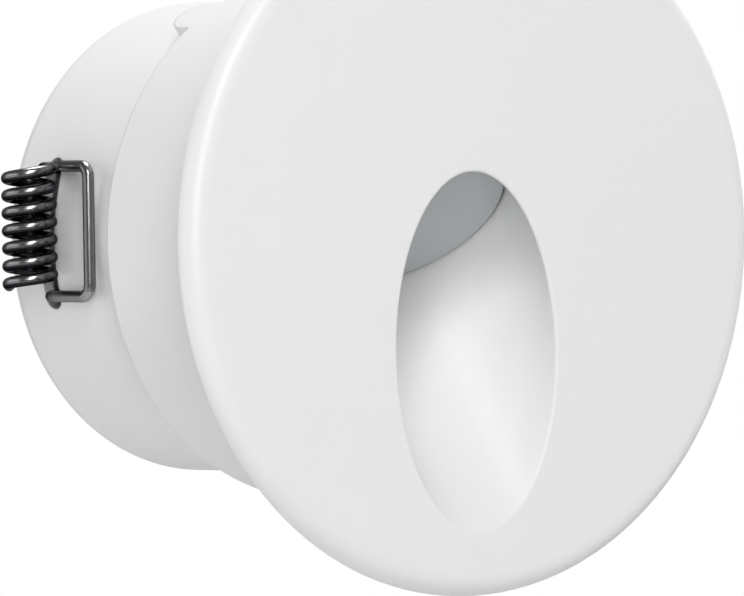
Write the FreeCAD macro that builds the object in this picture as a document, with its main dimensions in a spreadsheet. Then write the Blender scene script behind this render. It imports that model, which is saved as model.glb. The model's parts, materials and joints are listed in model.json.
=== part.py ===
import FreeCAD, Part
import Sketcher
import math
import os
import re

# Recessed outdoor spotlight.
# World axes: +Z up, the face looks along -Y, the can reaches along +Y into the wall.
# The origin is the centre of the trim plate's back face, which lies on the wall.
# Lengths are in millimetres, angles in degrees.

V = FreeCAD.Vector

SIZES = {
    # trim plate
    "trim_radius": 42.0,
    "trim_thickness": 2.6,
    "trim_edge_round": 2.4,
    # collar
    "lip_wall": 3.05,
    "collar_wall": 1.5,
    "collar_length": 28.0,
    "collar_edge_round": 0.5,
    "lip_length": 5.6,
    "ledge_length": 2.0,
    "ledge_height": 3.2,
    # slanted scoop
    "bore_radius": 11.9,
    "bore_tilt": 55.0,
    "bore_depth": 20.0,
    "opening_drop": 13.9,
    "opening_edge_round": 0.35,
    "scoop_wall": 1.3,
    "scoop_gap": 0.05,
    # lens pocket at the scoop's end
    "lens_tilt": 50.0,
    "pocket_step": 1.4,
    "pocket_wall": 1.5,
    "pocket_depth": 4.2,
    "pocket_root": 3.0,
    # lugs on the collar's rear edge
    "lug_radius": 2.7,
    "lug_reach": 1.4,
    "lug_angle": 31.4,
    "lug_clearance": 0.25,
    # posts in the collar and on the lens pocket
    "case_post_radius": 2.8,
    "case_screw_inset": 3.85,
    "case_post_gap": 1.0,
    "case_web": 2.0,
    "carrier_post_radius": 2.8,
    "carrier_post_merge": 0.6,
    "thread_hole_radius": 1.25,
    "case_thread_depth": 11.0,
    "carrier_thread_depth": 8.0,
    # rear can
    "can_radius": 27.75,
    "can_reach": 23.6,
    "can_wall": 1.5,
    "can_floor": 2.0,
    "can_back_round": 2.3,
    "can_inner_round": 1.0,
    "can_fit": 0.1,
    "can_edge_round": 0.3,
    "case_boss_radius": 3.2,
    "case_boss_depth": 4.0,
    "case_hole_radius": 1.65,
    "case_sink_radius": 2.85,
    "case_sink_depth": 2.2,
    # slots for the wire clips
    "slot_width": 2.8,
    "slot_half_span": 7.5,
    "slot_setback": 15.3,
    "slot_drop": 0.3,
    "clip_rise": 1.2,
    # wire clips
    "wire_radius": 0.7,
    "coil_radius": 2.6,
    "coil_stand": 3.85,
    "coil_pitch": 2.07,
    "coil_turns": 7,
    "coil_top": 6.55,
    "coil_tail_angle": 45.0,
    "wire_exit_rise": 7.45,
    "loop_half_span": 7.65,
    "loop_bend": 1.5,
    "loop_bar_stand": 1.0,
    "loop_bar_setback": 5.9,
    "loop_leg_stand": 0.35,
    "loop_end_setback": 12.6,
    "loop_end_sink": 0.45,
    "wire_bend": 1.4,
    "run_depth": 4.8,
    "slot_play_share": 0.4,
    # gaskets
    "gasket_clearance": 3.1,
    "gasket_width": 6.4,
    "gasket_thickness": 1.0,
    "seal_section": 0.6,
    "seal_gap": 0.02,
    "seal_groove_width": 1.8,
    # lens and its holders
    "lens_disc_gap": 0.5,
    "lens_disc_rise": 0.3,
    "lens_flange_gap": 0.1,
    "lens_flange": 1.5,
    "lens_seal_width": 1.1,
    "lens_seal_thickness": 0.5,
    "retainer_width": 1.5,
    "retainer_thickness": 1.7,
    "retainer_notch": 1.6,
    # reflector, board and carrier
    "reflector_gap": 0.3,
    "reflector_throat": 4.2,
    "reflector_wall": 0.8,
    "reflector_height": 6.8,
    "board_radius": 10.5,
    "board_thickness": 1.0,
    "board_screw_spread": 8.4,
    "board_screw_radius": 0.95,
    "board_screw_head": 1.7,
    "board_screw_head_height": 1.2,
    "board_screw_length": 3.0,
    "emitter_side": 5.0,
    "emitter_height": 0.9,
    "emitter_dome": 2.0,
    "pad_thickness": 0.3,
    "pad_radius": 7.2,
    "carrier_disc": 11.0,
    "carrier_thickness": 2.6,
    "carrier_arm_width": 8.0,
    "fin_count": 4,
    "fin_thickness": 1.2,
    "fin_pitch": 3.6,
    "fin_height": 3.6,
    "fin_length": 11.0,
    # driver in its cup
    "cup_gap": 1.65,
    "cup_wall": 1.0,
    "cup_floor": 1.0,
    "cup_depth": 14.0,
    "cup_stand": 6.1,
    "cup_cable_hole": 4.0,
    "driver_post_radius": 2.8,
    "driver_screw_inset": 3.7,
    "driver_gap": 0.4,
    "driver_thickness": 1.6,
    "driver_inset": 2.0,
    "standoff_radius": 2.5,
    "capacitor_radius": 4.0,
    "capacitor_height": 8.2,
    "capacitor_offset": 8.0,
    "inductor_radius": 4.2,
    "inductor_height": 6.0,
    "inductor_flange": 1.0,
    "inductor_waist": 1.0,
    "inductor_offset": 8.5,
    "rectifier_length": 6.4,
    "rectifier_width": 5.0,
    "rectifier_height": 2.6,
    "rectifier_across": 1.5,
    "rectifier_down": 8.5,
    "terminal_length": 10.0,
    "terminal_width": 7.0,
    "terminal_height": 7.0,
    "terminal_wire_hole": 1.2,
    "terminal_hole_spread": 2.4,
    "terminal_across": 10.0,
    "terminal_down": 1.0,
    "driver_screw_bite": 3.5,
    # machine screws
    "screw_radius": 1.2,
    "screw_clearance": 0.3,
    "screw_head_radius": 2.5,
    "screw_head_height": 1.6,
    "screw_recess_width": 0.7,
    "screw_recess_length": 2.6,
    "screw_recess_depth": 0.7,
    "case_screw_bite": 9.0,
    "carrier_screw_bite": 6.5,
    "driver_screw_head": 2.2,
    # leads
    "lead_radius": 0.6,
    "lead_hole_gap": 0.3,
    "lead_spread": 3.2,
    "lead_offset": 8.6,
    "lead_bend": 2.4,
    "lead_straight": 3.4,
    # cable gland
    "gland_hole_gap": 0.1,
    "gland_thread": 6.0,
    "gland_flats": 7.0,
    "gland_collar": 4.0,
    "gland_neck": 5.4,
    "gland_neck_length": 7.0,
    "gland_bore": 4.0,
    "gland_tail": 6.8,
    "washer_thickness": 1.0,
    "washer_radius": 8.0,
    "locknut_thickness": 3.6,
    "seal_bore": 3.4,
    "seal_length": 5.2,
    "seal_wall": 1.2,
    "nut_gap": 0.3,
    "nut_hex_height": 4.5,
    "dome_height": 9.0,
    "dome_wall": 1.5,
    "dome_mouth": 3.9,
    "dome_round": 3.0,
    "thread_gap": 0.05,
    # overrun of cutting shapes
    "overrun": 1.0,
    # tolerances for finding the mouth's edge and for a run that is too short to draw
    "mouth_search": 0.01,
    "straight_tolerance": 0.001,
}

# places worked out in the sheet from the sizes above
DERIVED = {
    "lip_bore": "can_radius + can_fit",
    "collar_radius": "lip_bore + lip_wall",
    "collar_bore": "collar_radius - collar_wall",
    "ledge_end": "collar_length - lip_length",
    "ledge_start": "ledge_end - ledge_length",
    "ledge_bore": "collar_bore - ledge_height",
    "lens_y": "bore_depth * cos(bore_tilt) - trim_thickness",
    "lens_z": "bore_depth * sin(bore_tilt) - opening_drop",
    "can_front": "ledge_end",
    "can_back": "collar_length + can_reach",
    "can_inner": "can_radius - can_wall",
    "case_screw_circle": "can_inner - case_screw_inset",
    "can_inside": "can_back - can_floor",
    "slot_middle": "clip_rise - slot_drop",
    "slot_y": "collar_length + slot_setback",
    "pivot_y": "slot_y - slot_play_share * (slot_width / 2 - wire_radius)",
    "coil_x": "can_radius + coil_stand",
    "coil_y": "pivot_y - wire_bend",
    "seal_y": "ledge_end + lip_length / 2",
    "groove_radius": "can_radius + 2 * (seal_gap + seal_section)",
    "gasket_inner": "collar_radius + gasket_clearance",
    "gasket_outer": "gasket_inner + gasket_width",
    "pocket_radius": "bore_radius + pocket_step",
    "pocket_outer": "pocket_radius + pocket_wall",
    "lens_disc_radius": "bore_radius - lens_disc_gap",
    "lens_rim": "pocket_radius - lens_flange_gap",
    "lens_back": "lens_seal_thickness + lens_flange",
    "retainer_inner": "lens_rim - retainer_width",
    "reflector_rim": "retainer_inner - reflector_gap",
    "reflector_mouth": "reflector_rim - reflector_wall",
    "carrier_post_spread": "pocket_outer + carrier_post_radius - carrier_post_merge",
    "board_front": "lens_back + reflector_height",
    "board_back": "board_front + board_thickness",
    "carrier_front": "board_back + pad_thickness",
    "carrier_back": "carrier_front + carrier_thickness",
    "case_post_end": "can_front - case_post_gap",
    "cup_radius": "can_radius - run_depth - wire_radius - cup_gap",
    "cup_inner": "cup_radius - cup_wall",
    "cup_back": "can_inside - cup_stand",
    "cup_front": "cup_back - cup_depth",
    "driver_radius": "cup_inner - driver_gap",
    "driver_screw_circle": "driver_radius - driver_screw_inset",
    "driver_front": "cup_front + driver_inset",
    "driver_back": "driver_front + driver_thickness",
    "gland_face": "can_back + washer_thickness",
    "neck_start": "gland_face + gland_collar",
    "neck_end": "neck_start + gland_neck_length",
    "nut_front": "neck_start + nut_gap",
    "nut_back": "nut_front + dome_height",
    "nut_inside": "nut_back - dome_wall",
    "seal_end": "nut_inside - thread_gap",
    "seal_start": "seal_end - seal_length",
    "cup_floor_inside": "cup_back - cup_floor",
}

doc = FreeCAD.newDocument("spotlight")
sheet = doc.addObject("Spreadsheet::Sheet", "sizes")
ROW = 0
for alias, number in SIZES.items():
    ROW += 1
    sheet.set("A%d" % ROW, alias)
    sheet.set("B%d" % ROW, str(number))
    sheet.setAlias("B%d" % ROW, alias)
for alias, formula in DERIVED.items():
    ROW += 1
    sheet.set("A%d" % ROW, alias)
    sheet.set("B%d" % ROW, "=" + formula)
    sheet.setAlias("B%d" % ROW, alias)
doc.recompute()

NAMES = set(SIZES) | set(DERIVED)
SCRATCH_CELL = "D1"


def bound(formula):
    """The formula with each size named through the sheet."""
    def through_sheet(found):
        word = found.group()
        return "sizes." + word if word in NAMES else word

    return re.sub(r"[a-z][a-z_]*", through_sheet, formula)


def size(formula):
    """The present value of a formula of sizes."""
    if formula in NAMES:
        return float(sheet.get(formula))
    sheet.set(SCRATCH_CELL, "=" + formula)
    sheet.recompute()
    return float(sheet.get(SCRATCH_CELL))


# Frames: local z runs along the piece's own axis, local x is world x.
# Each frame is a turn about -X by (90 - tilt) degrees and a place in the plane x = 0.
WALL = {"turn": "90", "y": "0", "z": "0"}
BORE = {"turn": "90 - bore_tilt", "y": "0 - trim_thickness", "z": "0 - opening_drop"}
LENS = {"turn": "90 - lens_tilt", "y": "lens_y", "z": "lens_z"}


def place(item, frame, across="0", down="0", along="0"):
    """Put an item in a frame: across is local x, down is local y, along is local z."""
    item.Placement = FreeCAD.Placement(V(0, 0, 0), FreeCAD.Rotation(V(-1, 0, 0), size(frame["turn"])))
    turn = frame["turn"]
    item.setExpression("Placement.Rotation.Angle", bound(turn))
    item.setExpression("Placement.Base.x", bound(across))
    y = "%s + (%s) * cos(%s) + (%s) * sin(%s)" % (frame["y"], down, turn, along, turn)
    z = "%s - (%s) * sin(%s) + (%s) * cos(%s)" % (frame["z"], down, turn, along, turn)
    item.setExpression("Placement.Base.y", bound(y))
    item.setExpression("Placement.Base.z", bound(z))
    return item


def label(item, name):
    item.Label = name
    return item


def cylinder(name, radius, height, frame, across="0", down="0", along="0"):
    item = doc.addObject("Part::Cylinder", name)
    item.setExpression("Radius", bound(radius))
    item.setExpression("Height", bound(height))
    return place(item, frame, across, down, along)


def box(name, length, width, height, frame, across="0", down="0", along="0"):
    """A box centred on its place across and down, and reaching along from it."""
    item = doc.addObject("Part::Box", name)
    item.setExpression("Length", bound(length))
    item.setExpression("Width", bound(width))
    item.setExpression("Height", bound(height))
    return place(item, frame, "%s - (%s) / 2" % (across, length), "%s - (%s) / 2" % (down, width), along)


def hexagon(name, flats, height, frame, along="0"):
    item = doc.addObject("Part::Prism", name)
    item.Polygon = 6
    item.setExpression("Circumradius", bound("(%s) / cos(30)" % flats))
    item.setExpression("Height", bound(height))
    return place(item, frame, along=along)


def joined(name, items):
    item = doc.addObject("Part::MultiFuse", name)
    item.Shapes = items
    item.Refine = True
    return item


def cut(name, base, tools):
    item = doc.addObject("Part::Cut", name)
    item.Base = base
    item.Tool = tools[0] if len(tools) == 1 else joined(name + "_tools", tools)
    item.Refine = True
    return item


def common(name, first, second):
    item = doc.addObject("Part::MultiCommon", name)
    item.Shapes = [first, second]
    return item


def turned(name, outline, frame, across="0", down="0", along="0"):
    """A body turned about its local z.

    The outline is a closed list of (radius, height) corners. A third entry makes the stretch that ends
    at that corner a quarter arc: 1 bulges away from the axis side of travel, -1 the other way.
    """
    body = doc.addObject("PartDesign::Body", name)
    plane = [item for item in body.Origin.OriginFeatures if item.Role == "XZ_Plane"][0]
    sketch = body.newObject("Sketcher::SketchObject", name + "_outline")
    sketch.AttachmentSupport = (plane, [""])
    sketch.MapMode = "FlatFace"
    corners = [V(size(corner[0]), size(corner[1]), 0) for corner in outline]
    for index, corner in enumerate(outline):
        start = corners[index - 1]
        end = corners[index]
        if len(corner) == 3:
            chord = end - start
            middle = (start + end) * 0.5
            side = V(chord.y, -chord.x, 0) * (corner[2] / 2)
            bulge = side * (math.sqrt(2) - 1)
            sketch.addGeometry(Part.Arc(start, middle + bulge, end), False)
        else:
            sketch.addGeometry(Part.LineSegment(start, end), False)
    ends = []
    for index, corner in enumerate(outline):
        arc = sketch.Geometry[index]
        before = corners[index - 1]
        first_is_start = (arc.StartPoint - before).Length < (arc.EndPoint - before).Length
        ends.append((1, 2) if first_is_start else (2, 1))
    for index, corner in enumerate(outline):
        after = (index + 1) % len(outline)
        sketch.addConstraint(Sketcher.Constraint("Coincident", index, ends[index][1], after, ends[after][0]))
    for index, corner in enumerate(outline):
        for kind, formula in (("DistanceX", corner[0]), ("DistanceY", corner[1])):
            if formula == "0":
                # a corner on an axis of the sketch
                axis = -2 if kind == "DistanceX" else -1
                sketch.addConstraint(Sketcher.Constraint("PointOnObject", index, ends[index][1], axis))
                continue
            value = size(formula)
            number = sketch.addConstraint(
                Sketcher.Constraint(kind, -1, 1, index, ends[index][1], value))
            sketch.setExpression("Constraints[%d]" % number, bound(formula))
        if len(corner) == 3:
            # a quarter arc: square to the neighbours that run along the axes
            radius = (corners[index] - corners[index - 1]).Length / math.sqrt(2)
            number = sketch.addConstraint(Sketcher.Constraint("Radius", index, radius))
            rise = "abs((%s) - (%s))" % (corner[1], outline[index - 1][1])
            sketch.setExpression("Constraints[%d]" % number, bound(rise))
    turn = body.newObject("PartDesign::Revolution", name + "_turned")
    turn.Profile = sketch
    turn.ReferenceAxis = (sketch, ["V_Axis"])
    turn.Angle = 360
    sketch.Visibility = False
    return place(body, frame, across, down, along)


def radial(item, turn, y, out="0", across="0"):
    """Put an item with its local z pointing out from the can's axis, a turn from the top towards -X."""
    item.Placement = FreeCAD.Placement(V(0, 0, 0), FreeCAD.Rotation(V(0, -1, 0), size(turn)))
    item.setExpression("Placement.Rotation.Angle", bound(turn))
    x = "(%s) * cos(%s) - (%s) * sin(%s)" % (across, turn, out, turn)
    z = "(%s) * sin(%s) + (%s) * cos(%s)" % (across, turn, out, turn)
    item.setExpression("Placement.Base.x", bound(x))
    item.setExpression("Placement.Base.y", bound(y))
    item.setExpression("Placement.Base.z", bound(z))
    return item


def around(circle, angle):
    """Places across and down for a point on a circle about the frame's axis."""
    return "%s * cos(%d)" % (circle, angle), "0 - %s * sin(%d)" % (circle, angle)


def ring(name, outer, inner, height, frame, along="0"):
    outline = [(inner, "0"), (outer, "0"), (outer, height), (inner, height)]
    return turned(name, outline, frame, along=along)


# Angles of the screws about the can's axis, from +X towards the top
CASE_ANGLES = (90, 210, 330)
DRIVER_ANGLES = (30, 150, 270)
SIDES = {"left": "90", "right": "270"}
BOARD_SCREWS = [("0 - board_screw_spread", "0"), ("board_screw_spread", "0")]
CARRIER_SCREWS = [("0 - carrier_post_spread", "0"), ("carrier_post_spread", "0")]
CASE_SCREWS = [around("case_screw_circle", angle) for angle in CASE_ANGLES]
DRIVER_SCREWS = [around("driver_screw_circle", angle) for angle in DRIVER_ANGLES]
LEADS = [("0 - lead_spread", "lead_offset"), ("lead_spread", "lead_offset")]


def holes(name, places, radius, height, frame, along):
    """Cylinders at the places, for holes or for posts."""
    return [cylinder("%s_%d" % (name, index + 1), radius, height, frame, across, down, along)
            for index, (across, down) in enumerate(places)]


def screw_set(name, frame, places, seat, reach, radius, head_radius, head_height, from_back):
    """Screws on one seat: the head stands on it and the shank runs away from the head by reach."""
    solids = []
    recesses = []
    for index, (across, down) in enumerate(places):
        tag = "%s_%d" % (name, index + 1)
        head_along = seat if from_back else "%s - %s" % (seat, head_height)
        shank_along = "%s - (%s)" % (seat, reach) if from_back else seat
        solids.append(cylinder(tag + "_head", head_radius, head_height, frame, across, down, head_along))
        solids.append(cylinder(tag + "_shank", radius, reach, frame, across, down, shank_along))
        depth = "screw_recess_depth + overrun"
        if from_back:
            recess_along = "%s + %s - screw_recess_depth" % (seat, head_height)
        else:
            recess_along = "%s - %s - overrun" % (seat, head_height)
        width = "screw_recess_width"
        length = "screw_recess_length * (%s) / screw_head_radius" % head_radius
        recesses.append(box(tag + "_slot_a", length, width, depth, frame, across, down, recess_along))
        recesses.append(box(tag + "_slot_b", width, length, depth, frame, across, down, recess_along))
    return label(cut(name + "_cut", joined(name + "_blanks", solids), recesses), name)


# Front casting, one piece on the real light, kept as three nodes: trim plate, slanted scoop and collar
def bore_cutter(name):
    reach = "bore_radius * tan(bore_tilt) + overrun"
    past_lens = "bore_radius * abs(sin(bore_tilt - lens_tilt)) + overrun"
    return cylinder(name, "bore_radius", "%s + bore_depth + %s" % (reach, past_lens), BORE,
                    along="0 - (%s)" % reach)


def pocket_cutter(name):
    return cylinder(name, "pocket_radius", "pocket_depth + overrun", LENS)


def trim_plate():
    disc = turned("trim_disc", [
        ("0", "0 - trim_thickness"),
        ("trim_radius - trim_edge_round", "0 - trim_thickness"),
        ("trim_radius", "trim_edge_round - trim_thickness", 1),
        ("trim_radius", "0"),
        ("0", "0"),
    ], WALL)
    # the lens pocket's upper edge is sunk in the plate's back
    hollow = cut("trim_open", disc, [bore_cutter("trim_bore"), pocket_cutter("trim_pocket")])
    doc.recompute()
    # the mouth is the only edge that lies on the face inside the rounded rim
    face_y = 0 - size("trim_thickness")
    rim = size("trim_radius - trim_edge_round")
    near = size("mouth_search")
    mouth = []
    for index, edge in enumerate(hollow.Shape.Edges):
        reach = edge.BoundBox
        if abs(reach.YMin - face_y) + abs(reach.YMax - face_y) < near and reach.XMax < rim - near:
            mouth.append(index + 1)
    rounded = doc.addObject("Part::Fillet", "trim_rounded")
    rounded.Base = hollow
    rounded.Edges = [(number, size("opening_edge_round"), size("opening_edge_round")) for number in mouth]
    return label(rounded, "trim_plate")


def scoop():
    """The slanted tube, the lens pocket at its end and the two posts of the carrier."""
    reach = "(bore_radius + scoop_wall) * tan(bore_tilt)"
    solids = [
        cylinder("scoop_outer", "bore_radius + scoop_wall", "%s + bore_depth" % reach, BORE,
                 along="0 - %s" % reach),
        cylinder("lens_cup_outer", "pocket_outer", "pocket_root + pocket_depth", LENS,
                 along="0 - pocket_root"),
    ]
    solids += holes("carrier_post", CARRIER_SCREWS, "carrier_post_radius", "pocket_root + carrier_front",
                    LENS, "0 - pocket_root")
    keep = cylinder("scoop_keep", "trim_radius", "collar_length", WALL)
    kept = common("scoop_kept", joined("scoop_solid", solids), keep)
    tools = [bore_cutter("scoop_bore"), pocket_cutter("lens_pocket")]
    tools += holes("carrier_thread", CARRIER_SCREWS, "thread_hole_radius", "carrier_thread_depth + overrun",
                   LENS, "carrier_front - carrier_thread_depth")
    return label(cut("scoop_cut", kept, tools), "scoop")


def collar():
    """The sleeve behind the plate, with its ledge, lugs and the posts of the case screws."""
    solids = [turned("collar_turned", [
        ("collar_bore", "0"),
        ("collar_radius", "0"),
        ("collar_radius", "collar_length - collar_edge_round"),
        ("collar_radius - collar_edge_round", "collar_length", 1),
        ("lip_bore", "collar_length"),
        ("lip_bore", "ledge_end"),
        ("ledge_bore", "ledge_end"),
        ("ledge_bore", "ledge_start"),
        ("collar_bore", "ledge_start"),
    ], WALL)]
    solids += holes("case_post", CASE_SCREWS, "case_post_radius", "case_post_end", WALL, "0")
    for index, angle in enumerate(CASE_ANGLES):
        web = box("case_web_%d" % (index + 1), "case_web", "ledge_start",
                  "collar_bore + collar_wall / 2 - case_screw_circle", WALL)
        solids.append(radial(web, "%d" % (angle - 90), "0", "case_screw_circle", "0 - case_web / 2"))
    lug_ring = ring("lug_ring", "collar_radius", "can_radius + lug_clearance",
                    "lip_length + lug_reach + lug_radius + overrun", WALL, "ledge_end")
    lugs = []
    for index, turn in enumerate(("lug_angle", "lug_angle + 180")):
        tip = cylinder("lug_tip_%d" % (index + 1), "lug_radius", "collar_radius + overrun", WALL)
        lugs.append(radial(tip, turn, "collar_length + lug_reach"))
        shank = box("lug_shank_%d" % (index + 1), "2 * lug_radius", "lip_length + lug_reach",
                    "collar_radius + overrun", WALL)
        lugs.append(radial(shank, turn, "ledge_end", across="0 - lug_radius"))
    solids.append(common("lugs", joined("lug_blanks", lugs), lug_ring))
    notch_reach = "(bore_radius + scoop_wall + scoop_gap) * tan(bore_tilt) + overrun"
    tools = [
        ring("seal_groove", "groove_radius", "lip_bore - overrun", "seal_groove_width", WALL,
             "seal_y - seal_groove_width / 2"),
        cylinder("scoop_notch", "bore_radius + scoop_wall + scoop_gap", "2 * (%s)" % notch_reach, BORE,
                 along="0 - (%s)" % notch_reach),
    ]
    tools += holes("case_thread", CASE_SCREWS, "thread_hole_radius", "case_thread_depth + overrun", WALL,
                   "case_post_end - case_thread_depth")
    return label(cut("collar_cut", joined("collar_solid", solids), tools), "collar")


# Rear can: a deep cup with bosses for the screws and an upright slot at each side
def rear_can():
    wall = turned("can_wall_turned", [
        ("can_inner", "can_front"),
        ("can_radius - can_edge_round", "can_front"),
        ("can_radius", "can_front + can_edge_round", 1),
        ("can_radius", "can_back - can_back_round"),
        ("can_radius - can_back_round", "can_back", 1),
        ("0", "can_back"),
        ("0", "can_inside"),
        ("can_inner - can_inner_round", "can_inside"),
        ("can_inner", "can_inside - can_inner_round", -1),
    ], WALL)
    solids = [wall]
    tools = [cylinder("gland_hole", "gland_thread + gland_hole_gap", "can_floor + 2 * overrun", WALL,
                      along="can_inside - overrun")]
    for index, angle in enumerate(CASE_ANGLES):
        across, down = around("case_screw_circle", angle)
        tag = "case_boss_%d" % (index + 1)
        solids.append(cylinder(tag, "case_boss_radius", "case_boss_depth + can_floor / 2", WALL,
                               across, down, "can_inside - case_boss_depth"))
        tools.append(cylinder(tag + "_hole", "case_hole_radius", "case_boss_depth + can_floor + 2 * overrun",
                              WALL, across, down, "can_inside - case_boss_depth - overrun"))
        tools.append(cylinder(tag + "_sink", "case_sink_radius", "case_sink_depth + overrun", WALL,
                              across, down, "can_back - case_sink_depth"))
    for index, angle in enumerate(DRIVER_ANGLES):
        across, down = around("driver_screw_circle", angle)
        tag = "driver_post_%d" % (index + 1)
        solids.append(cylinder(tag, "driver_post_radius", "cup_stand + can_floor / 2", WALL,
                               across, down, "cup_back"))
        tools.append(cylinder(tag + "_thread", "thread_hole_radius", "driver_screw_bite + 2 * overrun", WALL,
                              across, down, "cup_back - overrun"))
    start = "sqrt(can_inner ^ 2 - (slot_half_span + slot_middle + slot_width / 2) ^ 2) - overrun"
    through = "can_radius + overrun - (%s)" % start
    for side, turn in SIDES.items():
        slot = box("slot_%s" % side, "2 * slot_half_span", "slot_width", through, WALL)
        tools.append(radial(slot, turn, "slot_y - slot_width / 2", start, "slot_middle - slot_half_span"))
        for index, end in enumerate(("slot_middle - slot_half_span", "slot_middle + slot_half_span")):
            round_end = cylinder("slot_%s_end_%d" % (side, index + 1), "slot_width / 2", through, WALL)
            tools.append(radial(round_end, turn, "slot_y", start, end))
    return label(cut("can_cut", joined("can_solid", solids), tools), "rear_can")


# Gaskets
def wall_gasket():
    return label(ring("wall_gasket", "gasket_outer", "gasket_inner", "gasket_thickness", WALL), "wall_gasket")


def body_seal():
    seal = doc.addObject("Part::Torus", "body_seal")
    seal.setExpression("Radius1", bound("can_radius + seal_gap + seal_section"))
    seal.setExpression("Radius2", bound("seal_section"))
    return label(place(seal, WALL, along="seal_y"), "body_seal")


# Lens and what holds it
def lens_seal():
    inner = "lens_rim - lens_seal_width"
    return label(ring("lens_seal", "lens_rim", inner, "lens_seal_thickness", LENS), "lens_seal")


def lens():
    return label(turned("lens", [
        ("0", "0 - lens_disc_rise"),
        ("lens_disc_radius", "0 - lens_disc_rise"),
        ("lens_disc_radius", "lens_seal_thickness"),
        ("lens_rim", "lens_seal_thickness"),
        ("lens_rim", "lens_back"),
        ("0", "lens_back"),
    ], LENS), "lens")


def lens_retainer():
    blank = ring("retainer_blank", "lens_rim", "retainer_inner", "retainer_thickness", LENS, "lens_back")
    notch = box("retainer_notch", "2 * pocket_radius", "retainer_notch", "retainer_thickness", LENS,
                along="lens_back + retainer_thickness / 2")
    return label(cut("retainer_cut", blank, [notch]), "lens_retainer")


# Light source
def reflector():
    return label(turned("reflector", [
        ("reflector_mouth", "lens_back"),
        ("reflector_rim", "lens_back"),
        ("reflector_throat + reflector_wall", "board_front"),
        ("reflector_throat", "board_front"),
    ], LENS), "reflector")


def led_emitter():
    base = box("emitter_base", "emitter_side", "emitter_side", "emitter_height", LENS,
               along="board_front - emitter_height")
    dome = doc.addObject("Part::Sphere", "emitter_dome")
    dome.setExpression("Radius", bound("emitter_dome"))
    place(dome, LENS, along="board_front - emitter_height")
    return label(joined("emitter_joined", [base, half_ball(dome)]), "led_emitter")


def half_ball(ball):
    """The front half of the emitter's dome."""
    front = cylinder("emitter_front", "emitter_dome + overrun", "emitter_dome + overrun", LENS,
                     along="board_front - emitter_height - emitter_dome - overrun")
    return common("emitter_half_dome", ball, front)


def led_board():
    disc = cylinder("board_disc", "board_radius", "board_thickness", LENS, along="board_front")
    tools = holes("board_hole", BOARD_SCREWS, "board_screw_radius + thread_gap",
                  "board_thickness + 2 * overrun", LENS, "board_front - overrun")
    return label(cut("board_cut", disc, tools), "led_board")


def board_screws():
    return screw_set("board_screws", LENS, BOARD_SCREWS, "board_front", "board_screw_length",
                     "board_screw_radius", "board_screw_head", "board_screw_head_height", False)


def thermal_pad():
    pad = cylinder("thermal_pad", "pad_radius", "pad_thickness", LENS, along="board_back")
    return label(pad, "thermal_pad")


def led_carrier():
    front = "carrier_front"
    thick = "carrier_thickness"
    solids = [
        cylinder("carrier_disc_round", "carrier_disc", thick, LENS, along=front),
        box("carrier_arm", "2 * carrier_post_spread", "carrier_arm_width", thick, LENS, along=front),
    ]
    solids += holes("carrier_arm_end", CARRIER_SCREWS, "carrier_arm_width / 2", "carrier_thickness", LENS,
                    "carrier_front")
    for index in range(int(size("fin_count"))):
        across = "(%d - (fin_count - 1) / 2) * fin_pitch" % index
        solids.append(box("fin_%d" % (index + 1), "fin_thickness", "fin_length",
                          "carrier_thickness / 2 + fin_height", LENS, across, "0",
                          "carrier_back - carrier_thickness / 2"))
    deep = "carrier_thickness + 2 * overrun"
    tools = holes("carrier_hole", CARRIER_SCREWS, "screw_radius + screw_clearance", deep, LENS,
                  "carrier_front - overrun")
    tools += holes("carrier_board_hole", BOARD_SCREWS, "board_screw_radius + thread_gap",
                   "carrier_thickness + overrun", LENS, "carrier_front - overrun")
    tools += holes("carrier_lead_hole", LEADS, "lead_radius + lead_hole_gap", deep, LENS,
                   "carrier_front - overrun")
    return label(cut("carrier_cut", joined("carrier_solid", solids), tools), "led_carrier")


def carrier_screws():
    return screw_set("carrier_screws", LENS, CARRIER_SCREWS, "carrier_back",
                     "carrier_thickness + carrier_screw_bite", "screw_radius", "screw_head_radius",
                     "screw_head_height", True)


# Driver board in its insulating cup
def driver_cup():
    solids = [turned("cup_turned", [
        ("cup_inner", "cup_front"),
        ("cup_radius", "cup_front"),
        ("cup_radius", "cup_back"),
        ("0", "cup_back"),
        ("0", "cup_floor_inside"),
        ("cup_inner", "cup_floor_inside"),
    ], WALL)]
    solids += holes("cup_standoff", DRIVER_SCREWS, "standoff_radius", "cup_back - driver_back", WALL,
                    "driver_back")
    tools = holes("cup_screw_hole", DRIVER_SCREWS, "screw_radius + screw_clearance",
                  "cup_back - driver_back + 2 * overrun", WALL, "driver_back - overrun")
    tools.append(cylinder("cup_cable_hole_cut", "cup_cable_hole", "cup_floor + 2 * overrun", WALL,
                          along="cup_floor_inside - overrun"))
    return label(cut("cup_cut", joined("cup_solid", solids), tools), "driver_cup")


def driver_board():
    disc = cylinder("driver_disc", "driver_radius", "driver_thickness", WALL, along="driver_front")
    tools = holes("driver_hole", DRIVER_SCREWS, "screw_radius + screw_clearance",
                  "driver_thickness + 2 * overrun", WALL, "driver_front - overrun")
    return label(cut("driver_cut", disc, tools), "driver_board")


def driver_capacitor():
    across, down = around("capacitor_offset", 90)
    can = cylinder("capacitor_can", "capacitor_radius", "capacitor_height", WALL, across, down, "driver_back")
    return label(can, "driver_capacitor")


def driver_inductor():
    across, down = around("inductor_offset", 210)
    waist = "inductor_radius - inductor_waist"
    return label(turned("driver_inductor", [
        ("0", "0"),
        ("inductor_radius", "0"),
        ("inductor_radius", "inductor_flange"),
        (waist, "inductor_flange"),
        (waist, "inductor_height - inductor_flange"),
        ("inductor_radius", "inductor_height - inductor_flange"),
        ("inductor_radius", "inductor_height"),
        ("0", "inductor_height"),
    ], WALL, across, down, "driver_back"), "driver_inductor")


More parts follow.
